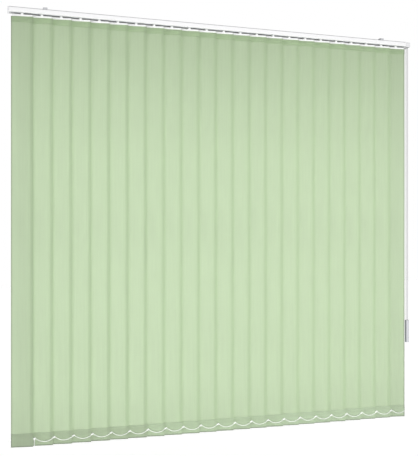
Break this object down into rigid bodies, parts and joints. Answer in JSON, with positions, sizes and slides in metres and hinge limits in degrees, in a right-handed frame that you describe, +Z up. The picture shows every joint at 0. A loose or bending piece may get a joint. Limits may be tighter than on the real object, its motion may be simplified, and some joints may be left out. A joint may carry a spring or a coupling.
{
  "type": "vertical blind",
  "caption": "Ceiling-hung vertical blind: pale green fabric slats that turn and draw aside along a white headrail, with a draw cord, tilt chain and linking chains.",
  "frame": {"origin": "on the ceiling plane, midway between the two bracket screw holes", "axes": "+X along the headrail towards the control end, -Y towards the room, +Z up"},
  "size_m": [1.862, 0.0416, 1.809],
  "materials": {
    "rail": "satin",
    "cap": "satin",
    "clip": "satin",
    "carrier": "satin",
    "fabric": "matte",
    "cord": "matte",
    "bead_chain": "gloss",
    "cord_weight": "satin"
  },
  "bodies": {
    "headrail": {"headrail": "rail", "control_end": "cap", "return_end": "cap", "left_bracket": "clip", "right_bracket": "clip", "draw_cord_run": "cord", "draw_cord_drop": "cord", "cord_weight": "cord_weight", "tilt_chain": "bead_chain", "carrier_23": "carrier"},
    "carrier_01": {"carrier_01": "carrier"},
    "carrier_02": {"carrier_02": "carrier"},
    "carrier_03": {"carrier_03": "carrier"},
    "carrier_04": {"carrier_04": "carrier"},
    "carrier_05": {"carrier_05": "carrier"},
    "carrier_06": {"carrier_06": "carrier"},
    "carrier_07": {"carrier_07": "carrier"},
    "carrier_08": {"carrier_08": "carrier"},
    "carrier_09": {"carrier_09": "carrier"},
    "carrier_10": {"carrier_10": "carrier"},
    "carrier_11": {"carrier_11": "carrier"},
    "carrier_12": {"carrier_12": "carrier"},
    "carrier_13": {"carrier_13": "carrier"},
    "carrier_14": {"carrier_14": "carrier"},
    "carrier_15": {"carrier_15": "carrier"},
    "carrier_16": {"carrier_16": "carrier"},
    "carrier_17": {"carrier_17": "carrier"},
    "carrier_18": {"carrier_18": "carrier"},
    "carrier_19": {"carrier_19": "carrier"},
    "carrier_20": {"carrier_20": "carrier"},
    "carrier_21": {"carrier_21": "carrier"},
    "carrier_22": {"carrier_22": "carrier"},
    "slat_01": {"slat_01": "fabric"},
    "slat_02": {"slat_02": "fabric"},
    "slat_03": {"slat_03": "fabric"},
    "slat_04": {"slat_04": "fabric"},
    "slat_05": {"slat_05": "fabric"},
    "slat_06": {"slat_06": "fabric"},
    "slat_07": {"slat_07": "fabric"},
    "slat_08": {"slat_08": "fabric"},
    "slat_09": {"slat_09": "fabric"},
    "slat_10": {"slat_10": "fabric"},
    "slat_11": {"slat_11": "fabric"},
    "slat_12": {"slat_12": "fabric"},
    "slat_13": {"slat_13": "fabric"},
    "slat_14": {"slat_14": "fabric"},
    "slat_15": {"slat_15": "fabric"},
    "slat_16": {"slat_16": "fabric"},
    "slat_17": {"slat_17": "fabric"},
    "slat_18": {"slat_18": "fabric"},
    "slat_19": {"slat_19": "fabric"},
    "slat_20": {"slat_20": "fabric"},
    "slat_21": {"slat_21": "fabric"},
    "slat_22": {"slat_22": "fabric"},
    "slat_23": {"slat_23": "fabric"},
    "tilt_rod": {"tilt_rod": "clip", "chain_wheel": "carrier"},
    "return_pulley": {"return_pulley": "carrier"},
    "front_chain": {"front_chain": "bead_chain"},
    "back_chain": {"back_chain": "bead_chain"}
  },
  "joints": [
    {"name": "traverse", "type": "slide", "parent": "headrail", "child": "carrier_01", "axis": [1, 0, 0], "range_m": [0, 1.408], "deforming": ["front_chain", "back_chain"]},
    {"name": "carrier_02_slide", "type": "slide", "parent": "headrail", "child": "carrier_02", "axis": [1, 0, 0], "range_m": [0, 1.344]},
    {"name": "carrier_03_slide", "type": "slide", "parent": "headrail", "child": "carrier_03", "axis": [1, 0, 0], "range_m": [0, 1.28]},
    {"name": "carrier_04_slide", "type": "slide", "parent": "headrail", "child": "carrier_04", "axis": [1, 0, 0], "range_m": [0, 1.216]},
    {"name": "carrier_05_slide", "type": "slide", "parent": "headrail", "child": "carrier_05", "axis": [1, 0, 0], "range_m": [0, 1.152]},
    {"name": "carrier_06_slide", "type": "slide", "parent": "headrail", "child": "carrier_06", "axis": [1, 0, 0], "range_m": [0, 1.088]},
    {"name": "carrier_07_slide", "type": "slide", "parent": "headrail", "child": "carrier_07", "axis": [1, 0, 0], "range_m": [0, 1.024]},
    {"name": "carrier_08_slide", "type": "slide", "parent": "headrail", "child": "carrier_08", "axis": [1, 0, 0], "range_m": [0, 0.96]},
    {"name": "carrier_09_slide", "type": "slide", "parent": "headrail", "child": "carrier_09", "axis": [1, 0, 0], "range_m": [0, 0.896]},
    {"name": "carrier_10_slide", "type": "slide", "parent": "headrail", "child": "carrier_10", "axis": [1, 0, 0], "range_m": [0, 0.832]},
    {"name": "carrier_11_slide", "type": "slide", "parent": "headrail", "child": "carrier_11", "axis": [1, 0, 0], "range_m": [0, 0.768]},
    {"name": "carrier_12_slide", "type": "slide", "parent": "headrail", "child": "carrier_12", "axis": [1, 0, 0], "range_m": [0, 0.704]},
    {"name": "carrier_13_slide", "type": "slide", "parent": "headrail", "child": "carrier_13", "axis": [1, 0, 0], "range_m": [0, 0.64]},
    {"name": "carrier_14_slide", "type": "slide", "parent": "headrail", "child": "carrier_14", "axis": [1, 0, 0], "range_m": [0, 0.576]},
    {"name": "carrier_15_slide", "type": "slide", "parent": "headrail", "child": "carrier_15", "axis": [1, 0, 0], "range_m": [0, 0.512]},
    {"name": "carrier_16_slide", "type": "slide", "parent": "headrail", "child": "carrier_16", "axis": [1, 0, 0], "range_m": [0, 0.448]},
    {"name": "carrier_17_slide", "type": "slide", "parent": "headrail", "child": "carrier_17", "axis": [1, 0, 0], "range_m": [0, 0.384]},
    {"name": "carrier_18_slide", "type": "slide", "parent": "headrail", "child": "carrier_18", "axis": [1, 0, 0], "range_m": [0, 0.32]},
    {"name": "carrier_19_slide", "type": "slide", "parent": "headrail", "child": "carrier_19", "axis": [1, 0, 0], "range_m": [0, 0.256]},
    {"name": "carrier_20_slide", "type": "slide", "parent": "headrail", "child": "carrier_20", "axis": [1, 0, 0], "range_m": [0, 0.192]},
    {"name": "carrier_21_slide", "type": "slide", "parent": "headrail", "child": "carrier_21", "axis": [1, 0, 0], "range_m": [0, 0.128]},
    {"name": "carrier_22_slide", "type": "slide", "parent": "headrail", "child": "carrier_22", "axis": [1, 0, 0], "range_m": [0, 0.064]},
    {"name": "tilt", "type": "hinge", "parent": "carrier_01", "child": "slat_01", "pos_m": [-0.873, 0, -0.028], "axis": [0, 0, -1], "range_deg": [0, 164]},
    {"name": "slat_02_tilt", "type": "hinge", "parent": "carrier_02", "child": "slat_02", "pos_m": [-0.794, 0, -0.028], "axis": [0, 0, -1], "range_deg": [0, 164]},
    {"name": "slat_03_tilt", "type": "hinge", "parent": "carrier_03", "child": "slat_03", "pos_m": [-0.715, 0, -0.028], "axis": [0, 0, -1], "range_deg": [0, 164]},
    {"name": "slat_04_tilt", "type": "hinge", "parent": "carrier_04", "child": "slat_04", "pos_m": [-0.636, 0, -0.028], "axis": [0, 0, -1], "range_deg": [0, 164]},
    {"name": "slat_05_tilt", "type": "hinge", "parent": "carrier_05", "child": "slat_05", "pos_m": [-0.557, 0, -0.028], "axis": [0, 0, -1], "range_deg": [0, 164]},
    {"name": "slat_06_tilt", "type": "hinge", "parent": "carrier_06", "child": "slat_06", "pos_m": [-0.478, 0, -0.028], "axis": [0, 0, -1], "range_deg": [0, 164]},
    {"name": "slat_07_tilt", "type": "hinge", "parent": "carrier_07", "child": "slat_07", "pos_m": [-0.399, 0, -0.028], "axis": [0, 0, -1], "range_deg": [0, 164]},
    {"name": "slat_08_tilt", "type": "hinge", "parent": "carrier_08", "child": "slat_08", "pos_m": [-0.32, 0, -0.028], "axis": [0, 0, -1], "range_deg": [0, 164]},
    {"name": "slat_09_tilt", "type": "hinge", "parent": "carrier_09", "child": "slat_09", "pos_m": [-0.241, 0, -0.028], "axis": [0, 0, -1], "range_deg": [0, 164]},
    {"name": "slat_10_tilt", "type": "hinge", "parent": "carrier_10", "child": "slat_10", "pos_m": [-0.162, 0, -0.028], "axis": [0, 0, -1], "range_deg": [0, 164]},
    {"name": "slat_11_tilt", "type": "hinge", "parent": "carrier_11", "child": "slat_11", "pos_m": [-0.083, 0, -0.028], "axis": [0, 0, -1], "range_deg": [0, 164]},
    {"name": "slat_12_tilt", "type": "hinge", "parent": "carrier_12", "child": "slat_12", "pos_m": [-0.004, 0, -0.028], "axis": [0, 0, -1], "range_deg": [0, 164]},
    {"name": "slat_13_tilt", "type": "hinge", "parent": "carrier_13", "child": "slat_13", "pos_m": [0.075, 0, -0.028], "axis": [0, 0, -1], "range_deg": [0, 164]},
    {"name": "slat_14_tilt", "type": "hinge", "parent": "carrier_14", "child": "slat_14", "pos_m": [0.154, 0, -0.028], "axis": [0, 0, -1], "range_deg": [0, 164]},
    {"name": "slat_15_tilt", "type": "hinge", "parent": "carrier_15", "child": "slat_15", "pos_m": [0.233, 0, -0.028], "axis": [0, 0, -1], "range_deg": [0, 164]},
    {"name": "slat_16_tilt", "type": "hinge", "parent": "carrier_16", "child": "slat_16", "pos_m": [0.312, 0, -0.028], "axis": [0, 0, -1], "range_deg": [0, 164]},
    {"name": "slat_17_tilt", "type": "hinge", "parent": "carrier_17", "child": "slat_17", "pos_m": [0.391, 0, -0.028], "axis": [0, 0, -1], "range_deg": [0, 164]},
    {"name": "slat_18_tilt", "type": "hinge", "parent": "carrier_18", "child": "slat_18", "pos_m": [0.47, 0, -0.028], "axis": [0, 0, -1], "range_deg": [0, 164]},
    {"name": "slat_19_tilt", "type": "hinge", "parent": "carrier_19", "child": "slat_19", "pos_m": [0.549, 0, -0.028], "axis": [0, 0, -1], "range_deg": [0, 164]},
    {"name": "slat_20_tilt", "type": "hinge", "parent": "carrier_20", "child": "slat_20", "pos_m": [0.628, 0, -0.028], "axis": [0, 0, -1], "range_deg": [0, 164]},
    {"name": "slat_21_tilt", "type": "hinge", "parent": "carrier_21", "child": "slat_21", "pos_m": [0.707, 0, -0.028], "axis": [0, 0, -1], "range_deg": [0, 164]},
    {"name": "slat_22_tilt", "type": "hinge", "parent": "carrier_22", "child": "slat_22", "pos_m": [0.786, 0, -0.028], "axis": [0, 0, -1], "range_deg": [0, 164]},
    {"name": "slat_23_tilt", "type": "hinge", "parent": "headrail", "child": "slat_23", "pos_m": [0.865, 0, -0.028], "axis": [0, 0, -1], "range_deg": [0, 164]},
    {"name": "tilt_rod_turn", "type": "hinge", "parent": "headrail", "child": "tilt_rod", "pos_m": [0, 0.0093, -0.0208], "axis": [1, 0, 0], "range_deg": [0, 1968]},
    {"name": "return_pulley_turn", "type": "hinge", "parent": "headrail", "child": "return_pulley", "pos_m": [-0.915, -0.01, -0.019], "axis": [0, 1, 0], "continuous": true},
    {"name": "front_chain_swing", "type": "hinge", "parent": "slat_23", "child": "front_chain", "pos_m": [0.916, -0.00717, -1.773], "axis": [0, 0, -1], "range_deg": [-164, 0]},
    {"name": "back_chain_swing", "type": "hinge", "parent": "slat_23", "child": "back_chain", "pos_m": [0.814, 0.00717, -1.773], "axis": [0, 0, -1], "range_deg": [-164, 0]}
  ],
  "couplings": [
    {"joint": "carrier_02_slide", "follows": "traverse", "ratio": 0.95455},
    {"joint": "carrier_03_slide", "follows": "traverse", "ratio": 0.90909},
    {"joint": "carrier_04_slide", "follows": "traverse", "ratio": 0.86364},
    {"joint": "carrier_05_slide", "follows": "traverse", "ratio": 0.81818},
    {"joint": "carrier_06_slide", "follows": "traverse", "ratio": 0.77273},
    {"joint": "carrier_07_slide", "follows": "traverse", "ratio": 0.72727},
    {"joint": "carrier_08_slide", "follows": "traverse", "ratio": 0.68182},
    {"joint": "carrier_09_slide", "follows": "traverse", "ratio": 0.63636},
    {"joint": "carrier_10_slide", "follows": "traverse", "ratio": 0.59091},
    {"joint": "carrier_11_slide", "follows": "traverse", "ratio": 0.54545},
    {"joint": "carrier_12_slide", "follows": "traverse", "ratio": 0.5},
    {"joint": "carrier_13_slide", "follows": "traverse", "ratio": 0.45455},
    {"joint": "carrier_14_slide", "follows": "traverse", "ratio": 0.40909},
    {"joint": "carrier_15_slide", "follows": "traverse", "ratio": 0.36364},
    {"joint": "carrier_16_slide", "follows": "traverse", "ratio": 0.31818},
    {"joint": "carrier_17_slide", "follows": "traverse", "ratio": 0.27273},
    {"joint": "carrier_18_slide", "follows": "traverse", "ratio": 0.22727},
    {"joint": "carrier_19_slide", "follows": "traverse", "ratio": 0.18182},
    {"joint": "carrier_20_slide", "follows": "traverse", "ratio": 0.13636},
    {"joint": "carrier_21_slide", "follows": "traverse", "ratio": 0.090909},
    {"joint": "carrier_22_slide", "follows": "traverse", "ratio": 0.045455},
    {"joint": "slat_02_tilt", "follows": "tilt", "ratio": 1},
    {"joint": "slat_03_tilt", "follows": "tilt", "ratio": 1},
    {"joint": "slat_04_tilt", "follows": "tilt", "ratio": 1},
    {"joint": "slat_05_tilt", "follows": "tilt", "ratio": 1},
    {"joint": "slat_06_tilt", "follows": "tilt", "ratio": 1},
    {"joint": "slat_07_tilt", "follows": "tilt", "ratio": 1},
    {"joint": "slat_08_tilt", "follows": "tilt", "ratio": 1},
    {"joint": "slat_09_tilt", "follows": "tilt", "ratio": 1},
    {"joint": "slat_10_tilt", "follows": "tilt", "ratio": 1},
    {"joint": "slat_11_tilt", "follows": "tilt", "ratio": 1},
    {"joint": "slat_12_tilt", "follows": "tilt", "ratio": 1},
    {"joint": "slat_13_tilt", "follows": "tilt", "ratio": 1},
    {"joint": "slat_14_tilt", "follows": "tilt", "ratio": 1},
    {"joint": "slat_15_tilt", "follows": "tilt", "ratio": 1},
    {"joint": "slat_16_tilt", "follows": "tilt", "ratio": 1},
    {"joint": "slat_17_tilt", "follows": "tilt", "ratio": 1},
    {"joint": "slat_18_tilt", "follows": "tilt", "ratio": 1},
    {"joint": "slat_19_tilt", "follows": "tilt", "ratio": 1},
    {"joint": "slat_20_tilt", "follows": "tilt", "ratio": 1},
    {"joint": "slat_21_tilt", "follows": "tilt", "ratio": 1},
    {"joint": "slat_22_tilt", "follows": "tilt", "ratio": 1},
    {"joint": "slat_23_tilt", "follows": "tilt", "ratio": 1},
    {"joint": "tilt_rod_turn", "follows": "tilt", "ratio": 12},
    {"joint": "return_pulley_turn", "follows": "traverse", "rad_per_m": 200},
    {"joint": "front_chain_swing", "follows": "tilt", "ratio": -1},
    {"joint": "back_chain_swing", "follows": "tilt", "ratio": -1}
  ]
}
